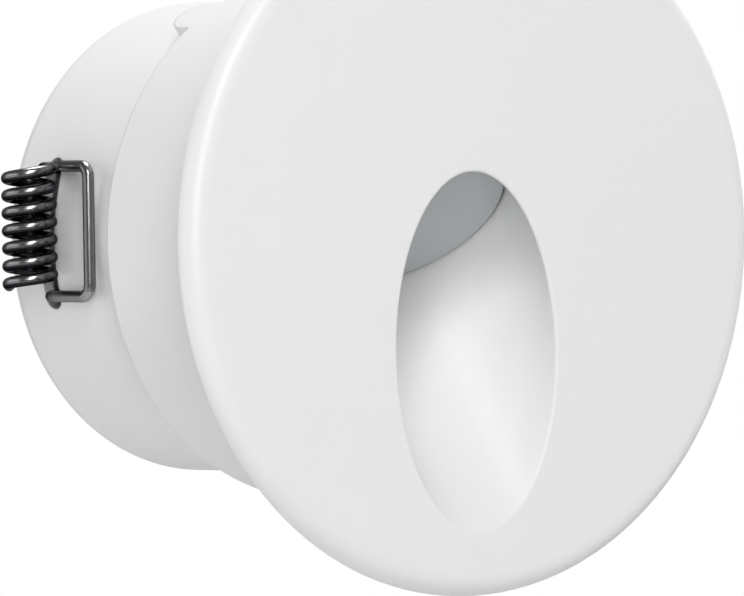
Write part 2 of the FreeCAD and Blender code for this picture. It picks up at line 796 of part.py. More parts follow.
def driver_rectifier():
    return label(box("rectifier_box", "rectifier_length", "rectifier_width", "rectifier_height", WALL,
                     "rectifier_across", "rectifier_down", "driver_back"), "driver_rectifier")


def driver_terminal():
    block = box("terminal_box", "terminal_width", "terminal_length", "terminal_height", WALL,
                "terminal_across", "terminal_down", "driver_back")
    wire_holes = [cylinder("terminal_hole_%d" % (index + 1), "terminal_wire_hole", "terminal_height", WALL,
                           "terminal_across", "terminal_down %s terminal_hole_spread" % sign,
                           "driver_back + terminal_height / 2")
                  for index, sign in enumerate("-+")]
    return label(cut("terminal_cut", block, wire_holes), "driver_terminal")


def driver_screws():
    return screw_set("driver_screws", WALL, DRIVER_SCREWS, "driver_front",
                     "cup_back - driver_front + driver_screw_bite", "screw_radius", "driver_screw_head",
                     "screw_head_height", False)


def case_screws():
    return screw_set("case_screws", WALL, CASE_SCREWS, "can_back - case_sink_depth",
                     "can_back - case_sink_depth - case_post_end + case_screw_bite", "screw_radius",
                     "screw_head_radius", "screw_head_height", True)


# Cable gland
def gland_body():
    flange = hexagon("gland_collar_hex", "gland_flats", "gland_collar", WALL, along="gland_face")
    thread = cylinder("gland_thread_round", "gland_thread", "gland_tail + gland_collar / 2", WALL,
                      along="gland_face - gland_tail")
    neck = cylinder("gland_neck_round", "gland_neck", "gland_collar / 2 + gland_neck_length", WALL,
                    along="neck_start - gland_collar / 2")
    through = cylinder("gland_through", "gland_bore", "neck_end - gland_face + gland_tail + 2 * overrun",
                       WALL, along="gland_face - gland_tail - overrun")
    seat = cylinder("gland_seat", "seal_bore + seal_wall + thread_gap",
                    "neck_end - seal_start + thread_gap + overrun", WALL, along="seal_start - thread_gap")
    solid = joined("gland_solid", [flange, thread, neck])
    return label(cut("gland_cut", solid, [through, seat]), "gland_body")


def gland_washer():
    return label(ring("gland_washer", "washer_radius", "gland_thread + thread_gap", "washer_thickness", WALL,
                      "can_back"), "gland_washer")


def gland_locknut():
    blank = hexagon("locknut_hex", "gland_flats", "locknut_thickness", WALL,
                    along="can_inside - locknut_thickness")
    hole = cylinder("locknut_hole", "gland_thread + thread_gap", "locknut_thickness + 2 * overrun", WALL,
                    along="can_inside - locknut_thickness - overrun")
    return label(cut("locknut_cut", blank, [hole]), "gland_locknut")


def gland_seal():
    return label(ring("gland_seal", "seal_bore + seal_wall", "seal_bore", "seal_length", WALL, "seal_start"),
                 "gland_seal")


def gland_nut():
    shell = "gland_neck + thread_gap"
    dome = turned("nut_dome", [
        (shell, "nut_front"),
        ("%s + dome_wall" % shell, "nut_front"),
        ("%s + dome_wall" % shell, "nut_back - dome_round"),
        ("%s + dome_wall - dome_round" % shell, "nut_back", 1),
        ("dome_mouth", "nut_back"),
        ("dome_mouth", "nut_inside"),
        (shell, "nut_inside"),
    ], WALL)
    outer_hex = hexagon("nut_hex", "gland_flats", "nut_hex_height", WALL, along="nut_front")
    inner = cylinder("nut_thread", shell, "nut_hex_height + 2 * overrun", WALL, along="nut_front - overrun")
    sleeve = cut("nut_sleeve", outer_hex, [inner])
    return label(joined("nut_joined", [dome, sleeve]), "gland_nut")


# Bent wire and leads
def arc_through(start, tangent, end):
    """The arc that leaves start along the tangent and reaches end."""
    chord = end - start
    half = chord.Length / 2
    along = V(chord).normalize()
    side = tangent - along * tangent.dot(along)
    if side.Length * half < size("straight_tolerance"):
        return Part.LineSegment(start, end)
    angle = math.acos(max(-1.0, min(1.0, tangent.dot(along))))
    middle = start + chord * 0.5 + side.normalize() * (half * math.tan(angle / 2))
    return Part.Arc(start, middle, end)


PARALLEL = 1e-9


def biarc(start, first, end, last):
    """Two arcs that join start to end with the unit tangents first and last."""
    chord = end - start
    total = first + last
    spread = 2 * (1 - first.dot(last))
    lean = chord.dot(total)
    if spread < PARALLEL:
        reach = chord.Length ** 2 / (4 * chord.dot(last))
    else:
        reach = (math.sqrt(lean ** 2 + 2 * spread * chord.Length ** 2 / 2) - lean) / spread
    joint = (start + first * reach + end - last * reach) * 0.5
    back = arc_through(end, last * -1, joint)
    return [arc_through(start, first, joint), back]


def route(corners, bends):
    """Straight runs through the corners, each inner corner rounded by its bend radius."""
    pieces = []
    at = corners[0]
    for index in range(1, len(corners) - 1):
        before = (corners[index - 1] - corners[index]).normalize()
        after = (corners[index + 1] - corners[index]).normalize()
        half = before.getAngle(after) / 2
        leave = bends[index - 1] / math.tan(half)
        first = corners[index] + before * leave
        last = corners[index] + after * leave
        bisector = (before + after).normalize()
        middle = corners[index] + bisector * (bends[index - 1] / math.sin(half) - bends[index - 1])
        if (first - at).Length > size("straight_tolerance"):
            pieces.append(Part.LineSegment(at, first))
        pieces.append(Part.Arc(first, middle, last))
        at = last
    if (corners[-1] - at).Length > size("straight_tolerance"):
        pieces.append(Part.LineSegment(at, corners[-1]))
    return pieces


def tube(pieces, radius):
    """One round tube along joined lines and arcs, and the path it follows."""
    path = Part.Wire([piece.toShape() for piece in pieces])
    start = pieces[0].StartPoint
    tangent = pieces[0].tangent(pieces[0].FirstParameter)[0]
    section = Part.Wire([Part.Circle(start, tangent, radius).toShape()])
    shell = Part.BRepOffsetAPI.MakePipeShell(path)
    shell.add(section)
    shell.build()
    shell.makeSolid()
    return shell.shape(), path


NEIGHBOUR_RADII = 6


def least_gap(path, radius):
    """The least gap between stretches of the tube that lie apart along it."""
    count = int(path.Length / (radius / 2))
    points = path.discretize(Number=count)
    step = path.Length / (count - 1)
    apart = int(NEIGHBOUR_RADII * radius / step) + 1
    least = min((points[i] - points[j]).Length for i in range(count) for j in range(i + apart, count))
    return least - 2 * radius


def clip_pieces():
    """The wire of the left clip: loop, crossing, inner run, crossing, coil and tail."""
    can = size("can_radius")
    rise = size("clip_rise")
    bend = size("wire_bend")
    pivot_y = size("pivot_y")
    low = 0 - size("loop_half_span")
    high = size("loop_half_span")
    outlet = size("wire_exit_rise")
    bar_out = can + size("loop_bar_stand")
    leg_out = can + size("loop_leg_stand")
    bar_y = size("collar_length + loop_bar_setback")
    end_y = size("collar_length + loop_end_setback")
    end_out = can - size("loop_end_sink")
    run_out = can - size("run_depth")
    run_y = pivot_y - 2 * bend
    coil_out = size("coil_x")
    coil_y = size("coil_y")
    radius = size("coil_radius")
    pitch = size("coil_pitch")

    def point(out, y, height):
        return V(0 - out, y, rise + height)

    inlet = point(coil_out - radius, coil_y, outlet)
    corners = [
        point(end_out, end_y, high),
        point(bar_out, bar_y, high),
        point(bar_out, bar_y, low),
        point(leg_out, pivot_y, low),
        point(run_out, pivot_y, low),
        point(run_out, run_y, low),
        point(run_out, run_y, outlet),
        point(run_out, pivot_y, outlet),
        point(coil_out - radius, pivot_y, outlet),
        inlet,
    ]
    bends = [size("loop_bend")] * 2 + [bend] * 6
    pieces = route(corners, bends)

    def coil_height(turns):
        """Height after a number of turns from the inner point, eased into the pitch over half a turn."""
        top = size("coil_top")
        half = turns / 0.5
        if half >= 1:
            return top - pitch * (turns - 0.5), 0 - pitch
        drop = outlet - top
        eased = (3 * drop - pitch / 2) * half ** 2 + (pitch / 2 - 2 * drop) * half ** 3
        slope = 2 * (3 * drop - pitch / 2) * half + 3 * (pitch / 2 - 2 * drop) * half ** 2
        return outlet - eased, 0 - 2 * slope

    def coil_point(turns):
        angle = 2 * math.pi * turns
        height, slope = coil_height(turns)
        place_on_coil = point(coil_out - radius * math.cos(angle), coil_y - radius * math.sin(angle), height)
        around_y = 0 - radius * math.cos(angle) * 2 * math.pi
        out_change = radius * math.sin(angle) * 2 * math.pi
        return place_on_coil, V(0 - out_change, around_y, slope).normalize()

    tail_turns = size("coil_tail_angle") / 360
    stops = [quarter / 4 for quarter in range(0, 4 * int(size("coil_turns")) - 1)]
    stops.append(stops[-1] + tail_turns)
    for begin, finish in zip(stops, stops[1:]):
        pieces += biarc(*(coil_point(begin) + coil_point(finish)))
    last, heading = coil_point(stops[-1])
    pieces.append(Part.LineSegment(last, last + heading * (2 * size("wire_radius"))))
    return pieces


def wire_clips():
    wire, path = tube(clip_pieces(), size("wire_radius"))
    gap = least_gap(path, size("wire_radius"))
    print("clip wire: length %.2f, least gap to itself %.3f" % (path.Length, gap))
    clips = []
    for side, turn in (("left", 0), ("right", 180)):
        clip = doc.addObject("Part::Feature", "clip_" + side)
        clip.Shape = wire
        clip.Placement = FreeCAD.Placement(V(0, 0, 0), FreeCAD.Rotation(V(0, 1, 0), turn))
        clips.append(label(clip, "clip_" + side))
    return clips


def led_leads():
    """Two leads from the light board's back, through the carrier, to the driver board's front."""
    turn = math.radians(size(LENS["turn"]))
    along = V(0, math.sin(turn), math.cos(turn))
    down = V(0, math.cos(turn), 0 - math.sin(turn))
    start = V(0, size("lens_y"), size("lens_z")) + down * size("lead_offset") + along * size("board_back")
    bend = size("lead_bend")
    corner = start + along * (size("lead_straight") + bend * math.tan((math.pi / 2 - turn) / 2))
    end = V(0, size("driver_front"), corner.z)
    leads = []
    for side in (-1, 1):
        aside = V(side * size("lead_spread"), 0, 0)
        pieces = route([start + aside, corner + aside, end + aside], [bend])
        leads.append(tube(pieces, size("lead_radius"))[0])
    pair = doc.addObject("Part::Feature", "led_leads")
    pair.Shape = Part.makeCompound(leads)
    return label(pair, "led_leads")


NODES = [
    trim_plate(), scoop(), collar(), rear_can(), lens(), wall_gasket(), body_seal(), lens_seal(),
    lens_retainer(), reflector(), led_emitter(), led_board(), board_screws(), thermal_pad(),
    led_carrier(), carrier_screws(), led_leads(), driver_board(), driver_capacitor(), driver_inductor(),
    driver_rectifier(), driver_terminal(), driver_cup(), driver_screws(), case_screws(), gland_body(),
    gland_washer(), gland_locknut(), gland_seal(), gland_nut(),
] + wire_clips()
doc.recompute()

failed = [item.Name for item in doc.Objects if "Invalid" in item.State or "Error" in item.State]
if failed:
    raise RuntimeError("these objects failed: " + ", ".join(failed))
for node in NODES:
    if node.Shape.isNull() or not node.Shape.isValid():
        raise RuntimeError("no valid shape: " + node.Label)
    if len(node.Shape.Solids) == 0:
        raise RuntimeError("no solid: " + node.Label)

os.makedirs("parts", exist_ok=True)
for node in NODES:
    node.Shape.exportStep("parts/%s.step" % node.Label)
    print("%-18s solids %d volume %9.1f" % (node.Label, len(node.Shape.Solids), node.Shape.Volume))
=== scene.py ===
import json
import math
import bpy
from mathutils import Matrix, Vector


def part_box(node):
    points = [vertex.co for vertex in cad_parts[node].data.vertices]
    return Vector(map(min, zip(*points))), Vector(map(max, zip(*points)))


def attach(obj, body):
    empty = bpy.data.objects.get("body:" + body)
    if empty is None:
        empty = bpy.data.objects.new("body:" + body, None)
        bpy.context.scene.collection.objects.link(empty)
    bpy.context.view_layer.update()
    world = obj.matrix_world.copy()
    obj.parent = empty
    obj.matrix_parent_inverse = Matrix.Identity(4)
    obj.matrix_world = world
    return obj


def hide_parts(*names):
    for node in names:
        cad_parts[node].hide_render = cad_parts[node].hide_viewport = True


bl_info = {
    "name": "Recessed Wall Spotlight",
    "version": (1, 0, 0),
    "blender": (4, 5, 0),
    "location": "3D View > Sidebar > Spotlight",
    "description": "Builds the pieces, finishes and studio of a recessed wall spotlight",
    "category": "Object",
}

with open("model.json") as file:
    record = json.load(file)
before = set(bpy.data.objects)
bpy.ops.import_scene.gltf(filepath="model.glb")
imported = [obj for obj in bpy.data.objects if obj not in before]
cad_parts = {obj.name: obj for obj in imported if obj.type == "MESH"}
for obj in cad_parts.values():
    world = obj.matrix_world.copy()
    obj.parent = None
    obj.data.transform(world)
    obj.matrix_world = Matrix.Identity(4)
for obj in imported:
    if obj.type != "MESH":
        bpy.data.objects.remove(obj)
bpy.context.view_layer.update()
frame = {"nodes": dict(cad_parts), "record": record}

import bmesh
import bpy
from bpy.props import FloatProperty, FloatVectorProperty, IntProperty, PointerProperty
from bpy.types import Operator, Panel, PropertyGroup
from mathutils import Matrix, Quaternion, Vector

MM = 0.001
QUARTER = math.radians(90)

SLOTS = {row["node"]: row["material_slot"] for row in frame["record"]["subparts"]}

# Places read from the frame
GASKET_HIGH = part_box("wall_gasket")[1]
SEAL_LOW, SEAL_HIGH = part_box("body_seal")
WASHER_LOW, WASHER_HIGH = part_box("gland_washer")
SLEEVE_LOW, SLEEVE_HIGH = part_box("gland_seal")
CAPACITOR_LOW, CAPACITOR_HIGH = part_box("driver_capacitor")
INDUCTOR_LOW, INDUCTOR_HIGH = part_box("driver_inductor")
TERMINAL_LOW, TERMINAL_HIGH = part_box("driver_terminal")


def length(name, millimetres, description):
    return FloatProperty(name=name, description=description, default=millimetres * MM,
                         unit="LENGTH", precision=5)


def degrees(name, value, description):
    return FloatProperty(name=name, description=description, default=math.radians(value), subtype="ANGLE")


def colour(name, value, description):
    return FloatVectorProperty(name=name, description=description, default=value,
                               subtype="COLOR", size=3, min=0.0, max=1.0)


def strength(name, value, description):
    return FloatProperty(name=name, description=description, default=value, min=0.0)


class SPOTLIGHT_PG_clip(PropertyGroup):
    """Sizes of one sprung wire clip; out is measured from the can's axis."""
    wire_radius: length("Wire radius", 0.7, "Half the wire's thickness")
    coil_radius: length("Coil radius", 2.6, "From the coil's axis to the middle of the wire")
    coil_out: length("Coil out", 31.6, "From the can's axis to the coil's axis")
    pitch: length("Pitch", 2.07, "Drop of the coil for each turn")
    turns: IntProperty(name="Turns", description="Turns of the coil, the last one cut short",
                       default=7, min=2, max=24)
    rise: length("Rise", 1.2, "Height of the clip's middle")
    coil_top: length("Coil top", 6.55, "Height of the first outermost point above the middle")
    outlet: length("Outlet", 7.45, "Height above the middle where the wire leaves the slot for the coil")
    half_span: length("Loop half span", 7.65, "Half the loop's height")
    pivot_y: length("Crossing", 43.02, "Depth of the wire where it crosses the slot")
    bar_out: length("Bar out", 28.75, "From the can's axis to the loop's front bar")
    bar_y: length("Bar depth", 33.9, "Depth of the loop's front bar")
    leg_out: length("Leg out", 28.1, "From the can's axis to the lower leg's rear end")
    end_out: length("Free end out", 27.3, "From the can's axis to the upper leg's free end")
    end_y: length("Free end depth", 40.6, "Depth of the upper leg's free end")
    run_out: length("Inner run out", 22.95, "From the can's axis to the run inside the can")
    loop_bend: length("Loop bend", 1.5, "Bend radius at the loop's corners")
    bend: length("Bend", 1.4, "Bend radius at the slot")
    tail_angle: degrees("Tail angle", 45, "Turn past the last outermost point")


class SPOTLIGHT_PG_inside(PropertyGroup):
    """Sizes of the seals and of the parts behind the lens; heights run along the lens's axis."""
    gasket_inner: length("Gasket bore", 34.0, "Radius of the foam ring's opening")
    lens_y: length("Lens depth", 8.87153, "Depth of the middle of the lens pocket's seat")
    lens_z: length("Lens height", 2.48304, "Height of the middle of the lens pocket's seat")
    lens_tilt: degrees("Lens tilt", 50, "Of the lens's axis above the horizon")
    lens_rim: length("Lens rim", 13.2, "Radius of the lens's flange")
    lens_seal_inner: length("Lens seal bore", 12.1, "Radius of the lens seal's opening")
    lens_seal_high: length("Lens seal height", 0.5, "Thickness of the lens seal")
    pad_radius: length("Pad radius", 7.2, "Radius of the thermal sheet")
    pad_low: length("Pad front", 9.8, "Height of the thermal sheet's front")
    pad_high: length("Pad back", 10.1, "Height of the thermal sheet's back")
    gland_thread: length("Washer bore", 6.05, "Radius of the gland washer's opening")
    gland_bore: length("Sleeve bore", 3.4, "Radius of the gland sleeve's bore")
    lead_radius: length("Lead radius", 0.6, "Half the thickness of a lead")
    lead_spread: length("Lead spread", 3.2, "From the middle to each lead")
    lead_offset: length("Lead offset", 8.6, "From the lens's axis down to the leads")
    lead_straight: length("Lead run", 4.519, "From the light board to the corner of a lead's route")
    board_front: length("Light board front", 8.8, "Height of the light board's front")
    driver_front: length("Driver front", 31.5, "Depth of the driver board's front")
    bobbin_waist: length("Bobbin waist", 3.2, "Radius of the inductor's core")
    bobbin_flange: length("Bobbin flange", 1.0, "Thickness of each flange of the inductor")
    winding_wire: length("Winding wire", 0.2, "Half the thickness of the inductor's wire")


class SPOTLIGHT_PG_paint(PropertyGroup):
    """Colours of the finishes."""
    paint: colour("Paint", (0.9, 0.9, 0.895), "Satin white powder paint")
    # Painted light and shade on the spring wire: the lighter wire colour is painted highlight on the
    # outside and tops of the turns and on the loop; the dark wire colour is painted shade between and
    # beneath the turns and against the can
    wire: colour("Wire", (0.42, 0.425, 0.435), "Spring wire where it is rubbed bright")
    wire_shade: colour("Dark wire", (0.025, 0.026, 0.028), "Spring wire where its scale is left")
    lens: colour("Lens", (0.525, 0.548, 0.562), "Frosted lens")
    foam: colour("Foam", (0.05, 0.05, 0.052), "Closed-cell foam")
    rubber: colour("Rubber", (0.025, 0.025, 0.026), "Black rubber")
    silicone: colour("Silicone", (0.72, 0.73, 0.73), "Translucent white silicone")
    plastic: colour("White plastic", (0.86, 0.86, 0.84), "Moulded white plastic")
    gland: colour("Gland plastic", (0.045, 0.046, 0.048), "Black moulded plastic")
    steel: colour("Screw steel", (0.6, 0.6, 0.59), "Zinc-plated steel")
    aluminium: colour("Aluminium", (0.74, 0.75, 0.76), "Cast aluminium")
    board: colour("Driver board", (0.03, 0.2, 0.07), "Green solder mask")
    mask: colour("Light board", (0.86, 0.86, 0.84), "White solder mask")
    copper: colour("Copper", (0.8, 0.42, 0.2), "Enamelled copper wire")
    sleeve: colour("Sleeve", (0.02, 0.02, 0.024), "Black sleeve")
    ferrite: colour("Ferrite", (0.07, 0.066, 0.066), "Dark ferrite")
    terminal: colour("Terminal", (0.36, 0.38, 0.4), "Grey terminal block")
    lead: colour("Lead", (0.5, 0.03, 0.02), "Red lead jacket")
    phosphor: colour("Phosphor", (0.95, 0.72, 0.16), "Yellow phosphor dome")


class SPOTLIGHT_PG_camera(PropertyGroup):
    """The photograph's camera, nearly without perspective."""
    focal: FloatProperty(name="Focal length", description="Lens on a 36 mm sensor", default=967.742)
    distance: length("Distance", 2336.187, "From the object's origin")
    azimuth: degrees("Azimuth", -38.489, "0 looks along +Y")
    elevation: degrees("Elevation", 0.9725, "Above the horizon")
    roll: degrees("Roll", -0.9181, "About the line of sight")
    aside: length("Aside", 10.439, "Right of the image's middle for the origin")
    above: length("Above", 7.164, "Above the image's middle for the origin")


class SPOTLIGHT_PG_studio(PropertyGroup):
    """Strength of the room's light from each side, and of the lamps."""
    above: strength("Above", 0.05, "Light from above")
    below: strength("Below", 0.95, "Light from below")
    front: strength("Front", 0.1, "Light from where the face looks")
    behind: strength("Behind", 0.1, "Light from the wall's side")
    left: strength("Left", 0.05, "Light from -X")
    right: strength("Right", 1.0, "Light from +X")
    key: strength("Key", 4.3, "Watts of the lamp beside the camera")
    high: strength("High", 5.3, "Watts of the lamp high on the left")
    top: strength("Top", 5.5, "Watts of the lamp above the can")
    rim: strength("Rim", 3.4, "Watts of the lamp behind on the left")


class Maths:
    """A shader socket that can stand in a sum; each operator adds one Math node."""

    def __init__(self, nodes, socket):
        self.nodes = nodes
        self.socket = socket

    def combined(self, operation, first, second):
        node = self.nodes.node("ShaderNodeMath", {"operation": operation}, {0: first, 1: second})
        return Maths(self.nodes, node.outputs[0])

    def __add__(self, other):
        return self.combined("ADD", self, other)

    def __radd__(self, other):
        return self.combined("ADD", other, self)

    def __sub__(self, other):
        return self.combined("SUBTRACT", self, other)

    def __rsub__(self, other):
        return self.combined("SUBTRACT", other, self)

    def __mul__(self, other):
        return self.combined("MULTIPLY", self, other)

    def __rmul__(self, other):
        return self.combined("MULTIPLY", other, self)

    def __truediv__(self, other):
        return self.combined("DIVIDE", self, other)

    def above(self, least):
        return self.combined("MAXIMUM", self, least)

    def below(self, most):
        return self.combined("MINIMUM", self, most)

    def magnitude(self):
        return self.combined("ABSOLUTE", self, 0.0)

    def root(self):
        return self.combined("SQRT", self, 0.0)

    def share(self, start, end):
        """0 at start, 1 at end, and held beyond both."""
        return ((self - start) / (end - start)).above(0.0).below(1.0)


class Nodes:
    """A node tree with one method that adds a node, its settings and its sockets' values."""

    def __init__(self, tree):
        self.tree = tree
        tree.nodes.clear()

    def node(self, kind, settings=None, sockets=None):
        node = self.tree.nodes.new(kind)
        for key, value in (settings or {}).items():
            setattr(node, key, value)
        for key, value in (sockets or {}).items():
            self.feed(node.inputs[key], value)
        return node

    def feed(self, socket, value):
        if isinstance(value, Maths):
            value = value.socket
        if isinstance(value, bpy.types.NodeSocket):
            self.tree.links.new(value, socket)
        else:
            socket.default_value = value


EDGE_SAMPLES = 8


class Finish(Nodes):
    """One procedural material: a Principled shader and the nodes that feed it."""

    def __init__(self, name, base, roughness, metallic=0.0, **uniform):
        self.material = bpy.data.materials.new(name)
        self.material.use_nodes = True
        super().__init__(self.material.node_tree)
        self.base = (*base, 1.0)
        self.shader = self.node("ShaderNodeBsdfPrincipled", {}, {
            "Base Color": self.base, "Roughness": roughness, "Metallic": metallic, **uniform})
        self.node("ShaderNodeOutputMaterial", {}, {"Surface": self.shader.outputs[0]})
        self.coordinates = self.node("ShaderNodeTexCoord").outputs
        self.place = self.coordinates["Object"]
        self.material.diffuse_color = self.base

    def noise(self, size, detail=2.0, stretch=(1.0, 1.0, 1.0)):
        """Noise from 0 to 1 whose lumps are about one size across."""
        scaled = self.node("ShaderNodeMapping", {}, {"Vector": self.place, "Scale": stretch})
        node = self.node("ShaderNodeTexNoise", {}, {
            "Vector": scaled.outputs[0], "Scale": 1.0 / size, "Detail": detail})
        return Maths(self, node.outputs["Fac"])

    def axes(self):
        """The three coordinates of a place on the piece, in metres."""
        parts = self.node("ShaderNodeSeparateXYZ", {}, {0: self.place}).outputs
        return [Maths(self, part) for part in parts]

    def cells(self, size):
        """Distance from the middle of the nearest cell, for cells about one size across."""
        node = self.node("ShaderNodeTexVoronoi", {}, {"Vector": self.place, "Scale": 1.0 / size})
        return Maths(self, node.outputs["Distance"])

    def tone(self, mask, other):
        """Mix the base colour towards another by a mask from 0 to 1."""
        mix = self.node("ShaderNodeMix", {"data_type": "RGBA"}, {
            0: mask, "A": self.base, "B": (*other, 1.0)})
        self.feed(self.shader.inputs["Base Color"], mix.outputs[2])
        return self

    def stain(self, size, shade, detail=2.0):
        """Lighter or darker clouds of the base colour."""
        return self.tone(self.noise(size, detail), shaded(self.base[:3], shade))

    def rough(self, low, high, size):
        """Roughness that wanders between two values."""
        self.feed(self.shader.inputs["Roughness"], low + (high - low) * self.noise(size))
        return self

    def bump(self, height, depth, edge=0.0):
        """A relief of a depth, over edges that look rounded by a radius."""
        node = self.node("ShaderNodeBump", {}, {"Height": height, "Distance": depth})
        if edge:
            rounded = self.node("ShaderNodeBevel", {"samples": EDGE_SAMPLES}, {"Radius": edge})
            self.feed(node.inputs["Normal"], rounded.outputs[0])
        self.feed(self.shader.inputs["Normal"], node.outputs[0])
        return self


def shaded(base, factor):
    return tuple(channel * factor for channel in base)


def powder_paint(colours, name, edge):
    """Satin powder paint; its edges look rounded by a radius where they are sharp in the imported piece."""
    finish = Finish(name, colours.paint, roughness=0.42, **{"Coat Weight": 0.12, "Coat Roughness": 0.25})
    grain = finish.noise(size=0.55 * MM, detail=3.0)
    finish.stain(size=14 * MM, shade=0.985, detail=1.0)
    finish.rough(low=0.36, high=0.46, size=3 * MM)
    return finish.bump(grain, depth=0.012 * MM, edge=edge).material


def coil_painted_light(finish, clip, x, y):
    """Painted light on the outside of the turns, more so away from the can, and painted shade below each
    turn, between the turns and towards the can.
    """
    out = x.magnitude()
    across = out - clip.coil_out
    along = y - (clip.pivot_y - clip.bend)
    reach = (across * across + along * along).root()
    inner = clip.coil_radius - 0.4 * clip.wire_radius
    outer = clip.coil_radius + 0.8 * clip.wire_radius
    near_can = clip.coil_out - 2.4 * MM
    far_side = clip.coil_out + 2.2 * MM
    underside, upper_side = -0.45, 0.25
    normal = finish.node("ShaderNodeSeparateXYZ", {}, {0: finish.coordinates["Normal"]})
    # Painted shade on the turns' undersides: surfaces that face down get less of the lighter colour
    lit_from_above = Maths(finish, normal.outputs["Z"]).share(underside, upper_side)
    # Painted highlight on the turns' outsides away from the can, painted shade on their insides and between
    # the turns
    return reach.share(inner, outer) * out.share(near_can, far_side) * lit_from_above


def loop_painted_light(clip, x, y, z):
    """Painted light on the loop's two legs up to the slot, and half as much on its front bar."""
    out = x.magnitude()
    height = ((0.0 - z) * x / out - clip.rise).magnitude()
    leg_low = clip.half_span - 0.8 * MM
    leg_high = clip.half_span - 0.5 * MM
    coil_side, loop_side = 29.9 * MM, 29.2 * MM
    legs = height.share(leg_low, leg_high) * out.share(coil_side, loop_side)
    legs = legs * y.share(clip.pivot_y, clip.end_y)
    bar = y.share(clip.bar_y + 4 * MM, clip.bar_y + 3.5 * MM)
    return legs.above(0.5 * bar)


def spring_wire(colours, clip):
    """Drawn wire with painted light and shade: painted highlight on the outside and tops of the turns and
    on the loop, painted shade between and beneath the turns and against the can.
    """
    finish = Finish("spring_wire", colours.wire_shade, roughness=0.3, metallic=1.0,
                    **{"Specular Tint": (0.4, 0.4, 0.42, 1.0)})
    x, y, z = finish.axes()
    painted_light = coil_painted_light(finish, clip, x, y).above(loop_painted_light(clip, x, y, z))
    streaks = finish.noise(size=0.35 * MM, detail=3.0, stretch=(1.0, 1.0, 0.25))
    least, gain = 0.75, 0.5
    # Painted light and shade: the lighter wire colour where the masks are high, the dark wire colour
    # elsewhere, varied along the drawing streaks
    finish.tone(painted_light * (least + gain * streaks), colours.wire)
    finish.rough(low=0.16, high=0.32, size=0.9 * MM)
    return finish.bump(streaks, depth=0.01 * MM).material


def frosted_lens(colours):
    """Satin plastic with a fine even frost."""
    finish = Finish("frosted_lens", colours.lens, roughness=0.5, **{"Specular IOR Level": 0.35})
    finish.stain(size=5 * MM, shade=0.97, detail=1.0)
    finish.rough(low=0.46, high=0.58, size=0.5 * MM)
    return finish.bump(finish.noise(size=0.2 * MM), depth=0.01 * MM).material


def foam(colours):
    """Closed-cell foam whose cells show as small pits."""
    finish = Finish("foam", colours.foam, roughness=0.9)
    cells = finish.cells(size=0.5 * MM)
    finish.tone(cells, shaded(colours.foam, 1.8))
    return finish.bump(cells, depth=0.12 * MM).material


def moulded(name, base, roughness, grain=0.25 * MM, depth=0.008 * MM):
    """Moulded plastic, rubber or resin with a fine grain and slightly uneven gloss."""
    finish = Finish(name, base, roughness)
    finish.stain(size=2.5 * MM, shade=0.9)
    finish.rough(low=roughness - 0.06, high=roughness + 0.06, size=0.8 * MM)
    return finish.bump(finish.noise(grain), depth).material


def metal(name, base, roughness, grain=0.3 * MM, depth=0.01 * MM):
    """Metal with a fine grain, slightly stained and unevenly dull."""
    finish = Finish(name, base, roughness, metallic=1.0)
    finish.stain(size=1.5 * MM, shade=0.85)
    finish.rough(low=roughness - 0.08, high=roughness + 0.08, size=0.6 * MM)
    return finish.bump(finish.noise(grain), depth).material


def circuit_board(name, base, area_shade):
    """Solder mask over broad copper areas that stand out faintly."""
    finish = Finish(name, base, roughness=0.35, **{"Coat Weight": 0.4})
    area_size = 6 * MM
    areas = finish.node("ShaderNodeTexBrick", {"offset": 0.35}, {
        "Vector": finish.place, "Scale": 1.0 / area_size, "Mortar Size": 0.06})
    fill = Maths(finish, areas.outputs["Fac"])
    finish.tone(fill, shaded(base, area_shade))
    return finish.bump(fill, depth=0.03 * MM).material


FINISHES = {}


def make_finishes(colours, clip):
    """One material for each slot of the record, the paint with softer edges, and the copper."""
    FINISHES.update({
        "white_paint": powder_paint(colours, "powder_paint", edge=0.0),
        "edged_paint": powder_paint(colours, "edged_powder_paint", edge=0.4 * MM),
        "spring_wire": spring_wire(colours, clip),
        "frosted_lens": frosted_lens(colours),
        "foam": foam(colours),
        "ferrite": moulded("ferrite", colours.ferrite, roughness=0.7, grain=0.12 * MM, depth=0.02 * MM),
        "screw_steel": metal("screw_steel", colours.steel, roughness=0.32),
        "bare_aluminium": metal("bare_aluminium", colours.aluminium, roughness=0.5,
                                grain=0.4 * MM, depth=0.03 * MM),
        "copper": metal("copper", colours.copper, roughness=0.3),
        "board_green": circuit_board("board_green", colours.board, area_shade=1.7),
        "board_white": circuit_board("board_white", colours.mask, area_shade=0.93),
    })
    plain = {
        "black_rubber": (colours.rubber, 0.6),
        "silicone": (colours.silicone, 0.45),
        "white_plastic": (colours.plastic, 0.5),
        "gland_plastic": (colours.gland, 0.42),
        "black_sleeve": (colours.sleeve, 0.3),
        "terminal_grey": (colours.terminal, 0.4),
        "lead_jacket": (colours.lead, 0.4),
        "phosphor": (colours.phosphor, 0.25),
    }
    for name, (base, roughness) in plain.items():
        FINISHES[name] = moulded(name, base, roughness)


SMOOTH_ANGLE = math.radians(38)
SAME_PLACE = 0.0001 * MM


def piece_from(name, points, faces, finish, body="housing"):
    """A mesh piece that rides on a body and takes a finish."""
    mesh = bpy.data.meshes.new(name)
    mesh.from_pydata(points, [], faces)
    work = bmesh.new()
    work.from_mesh(mesh)
    bmesh.ops.remove_doubles(work, verts=work.verts, dist=SAME_PLACE)
    bmesh.ops.recalc_face_normals(work, faces=work.faces)
    work.to_mesh(mesh)
    work.free()
    mesh.polygons.foreach_set("use_smooth", [True] * len(mesh.polygons))
    mesh.set_sharp_from_angle(angle=SMOOTH_ANGLE)
    piece = bpy.data.objects.new(name, mesh)
    bpy.context.scene.collection.objects.link(piece)
    piece.data.materials.append(FINISHES[finish])
    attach(piece, body)
    finish in SLOTS.values()
    return piece


